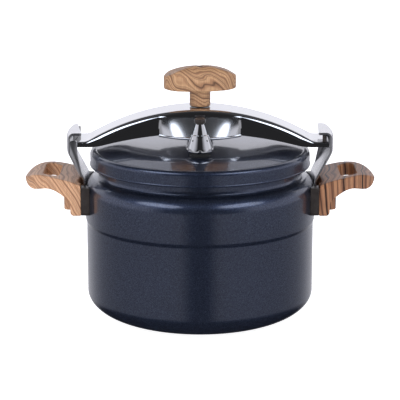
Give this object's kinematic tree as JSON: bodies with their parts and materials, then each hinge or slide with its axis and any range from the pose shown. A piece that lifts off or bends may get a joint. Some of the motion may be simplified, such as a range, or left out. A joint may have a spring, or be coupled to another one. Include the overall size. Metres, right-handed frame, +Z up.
{
  "type": "stovetop pressure cooker",
  "caption": "Lidded cooking pot held shut by a screw-down arched beam hooked under side brackets, with a weighted steam regulator and loop handles.",
  "frame": {"origin": "centre of the flat base, where it rests", "axes": "+Z up; +X along the beam towards the right handle; -Y towards the regulator, the front"},
  "size_m": [0.369, 0.2424, 0.2644],
  "materials": {
    "navy_paint": "dark navy metallic gloss",
    "chrome": "polished",
    "wood_effect": "satin wood-effect phenolic with brown grain",
    "black_phenolic": "satin black phenolic",
    "brown_phenolic": "satin dark brown",
    "black_rubber": "matte",
    "silicone": "matte pale grey silicone",
    "steel": "turned steel",
    "brass": "turned brass"
  },
  "bodies": {
    "pot": {"pot_body": "navy_paint", "bracket_right": "chrome", "bracket_left": "chrome", "hook_pad_right": "black_phenolic", "hook_pad_left": "black_phenolic", "bracket_rivets_right": "steel", "bracket_rivets_left": "steel", "handle_spacer_right": "black_phenolic", "handle_spacer_left": "black_phenolic", "handle_right": "wood_effect", "handle_left": "wood_effect", "handle_studs_right": "steel", "handle_studs_left": "steel", "handle_nuts_right": "steel", "handle_nuts_left": "steel"},
    "lid": {"lid_shell": "navy_paint", "lid_gasket": "silicone", "seat_cup": "chrome", "foot_retainer": "steel", "vent_pipe": "chrome", "vent_seal": "black_rubber", "vent_nut": "brass", "relief_body": "chrome", "relief_seal": "black_rubber", "relief_nut": "brass", "relief_spring": "steel"},
    "relief_pin": {"relief_pin": "brass"},
    "regulator": {"regulator_weight": "chrome", "regulator_needle": "steel", "regulator_cap": "black_phenolic"},
    "beam": {"beam": "chrome", "beam_bush": "steel", "beam_washer": "steel"},
    "knob": {"spindle": "steel", "knob": "wood_effect", "knob_insert": "brass", "knob_screw": "steel", "knob_plug": "brown_phenolic"}
  },
  "joints": [
    {"name": "lid_turn", "type": "hinge", "parent": "pot", "child": "lid", "pos_m": [0, 0, 0.17], "axis": [0, 0, 1], "range_deg": [-90, 0]},
    {"name": "knob_turn", "type": "hinge", "parent": "lid", "child": "knob", "pos_m": [0, 0, 0.2], "axis": [0, 0, 1], "range_deg": [0, 720]},
    {"name": "beam_travel", "type": "slide", "parent": "lid", "child": "beam", "axis": [0, 0, 1], "range_m": [-0.004, 0]},
    {"name": "regulator_lift", "type": "slide", "parent": "lid", "child": "regulator", "axis": [0, 0, 1], "range_m": [0, 0.022]},
    {"name": "relief_lift", "type": "slide", "parent": "lid", "child": "relief_pin", "axis": [0, 0, 1], "range_m": [0, 0.0025], "stiffness_N_per_m": 800, "deforming": ["relief_spring"]}
  ],
  "couplings": [
    {"joint": "knob_turn", "follows": "beam_travel", "rad_per_m": -3141.6}
  ]
}
